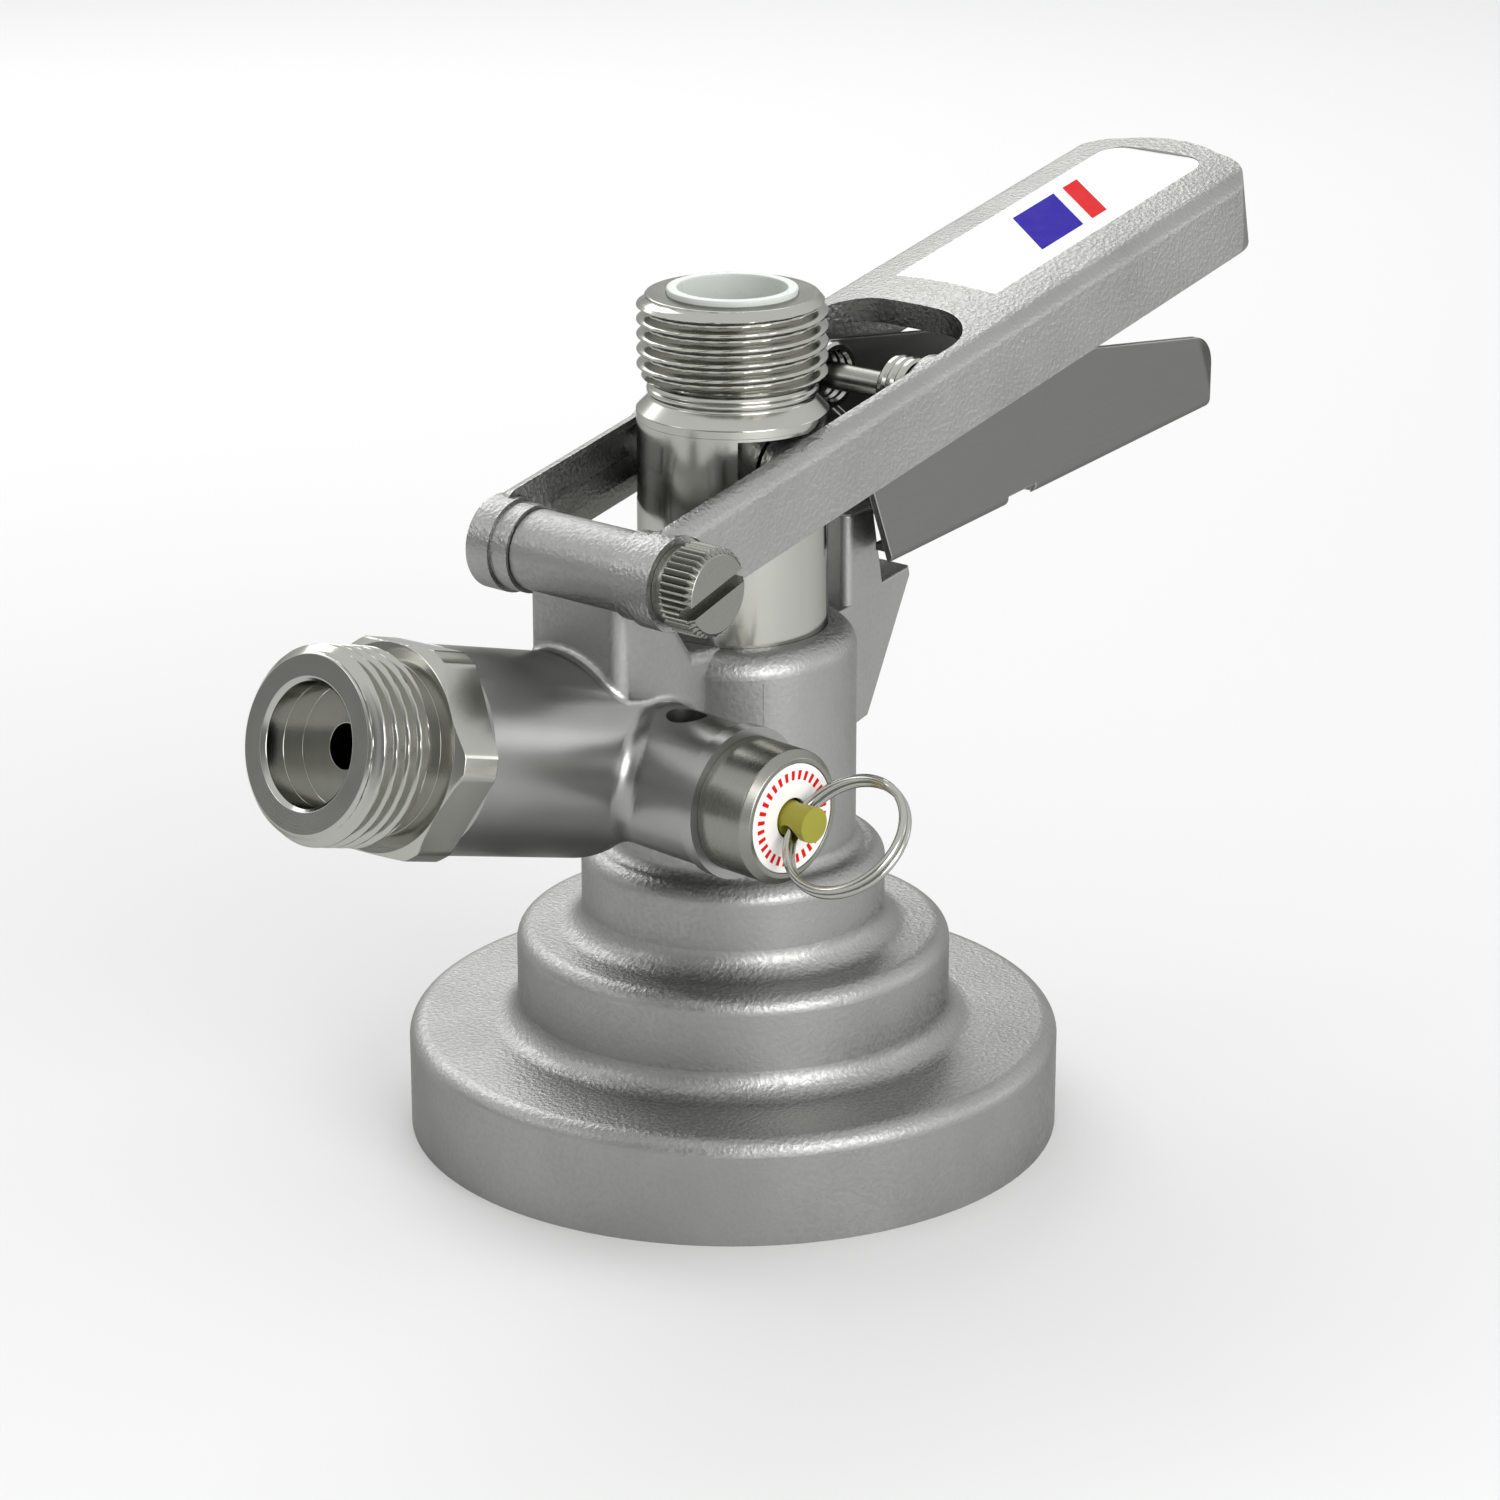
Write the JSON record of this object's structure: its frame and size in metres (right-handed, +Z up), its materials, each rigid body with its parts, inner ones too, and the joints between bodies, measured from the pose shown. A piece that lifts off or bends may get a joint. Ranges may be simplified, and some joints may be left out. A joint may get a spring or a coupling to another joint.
{
  "type": "keg coupler",
  "caption": "Lever-operated keg coupler: stepped cast body, sliding threaded probe, angled gas inlet, relief valve with pull ring, and a hand lever with a trigger underneath.",
  "frame": {"origin": "centre of the open underside of the base skirt", "axes": "+Z up the probe's axis to the outlet, +X under the lever's grip, -Y towards the knurled head of the pivot screw; the gas inlet points to -X"},
  "size_m": [0.1643, 0.0862, 0.1096],
  "materials": {
    "cast_stainless": "shot-blasted and tumbled casting",
    "turned_stainless": "fine turned",
    "sheet_stainless": "rolled sheet, satin",
    "spring_wire": "bright drawn wire",
    "black_rubber": "moulded, matt",
    "white_plastic": "smooth",
    "liner_plastic": "turned, satin",
    "olive_plastic": "moulded, satin"
  },
  "bodies": {
    "coupler_body": {"body_casting": "cast_stainless", "upper_stem_seal": "black_rubber", "lower_stem_seal": "black_rubber", "base_gasket": "black_rubber", "gas_nipple": "turned_stainless", "nipple_washer": "black_rubber", "gas_check_valve": "black_rubber", "relief_cap": "turned_stainless", "relief_disc": "white_plastic"},
    "relief_plunger": {"relief_plunger": "olive_plastic", "relief_seal": "black_rubber", "relief_spring": "spring_wire"},
    "pull_ring": {"pull_ring": "spring_wire"},
    "probe": {"probe_stem": "turned_stainless", "probe_liner": "liner_plastic", "probe_tip_seal": "black_rubber", "ball_retainer": "turned_stainless"},
    "check_ball": {"check_ball": "turned_stainless"},
    "lever": {"lever_casting": "cast_stainless", "lever_panel": "white_plastic", "pivot_screw": "turned_stainless", "trigger_pin": "turned_stainless", "trigger_spring": "spring_wire"},
    "trigger": {"trigger": "sheet_stainless"}
  },
  "joints": [
    {"name": "lever_press", "type": "hinge", "parent": "coupler_body", "child": "lever", "pos_m": [-0.0262, 0, 0.078], "axis": [0, 1, 0], "range_deg": [0, 21.5]},
    {"name": "probe_plunge", "type": "slide", "parent": "coupler_body", "child": "probe", "axis": [0, 0, -1], "range_m": [0, 0.00998]},
    {"name": "trigger_squeeze", "type": "hinge", "parent": "lever", "child": "trigger", "pos_m": [0.0255, 0, 0.0894], "axis": [0, -1, 0], "range_deg": [0, 12], "stiffness_Nm_per_rad": 0.6, "springref_deg": -14.32},
    {"name": "relief_pull", "type": "slide", "parent": "coupler_body", "child": "relief_plunger", "axis": [-0.0715, -0.9974, 0], "range_m": [0, 0.0025], "stiffness_N_per_m": 2000, "springref_m": -0.003},
    {"name": "ring_swing", "type": "hinge", "parent": "relief_plunger", "child": "pull_ring", "pos_m": [-0.02408, -0.03026, 0.05244], "axis": [0.7295, -0.0523, 0.682], "range_deg": [-75, 75]},
    {"name": "ball_lift", "type": "slide", "parent": "probe", "child": "check_ball", "axis": [0, 0, 1], "range_m": [0, 0.003]}
  ],
  "couplings": [
    {"joint": "probe_plunge", "follows": "lever_press", "m_per_rad": 0.02657}
  ]
}
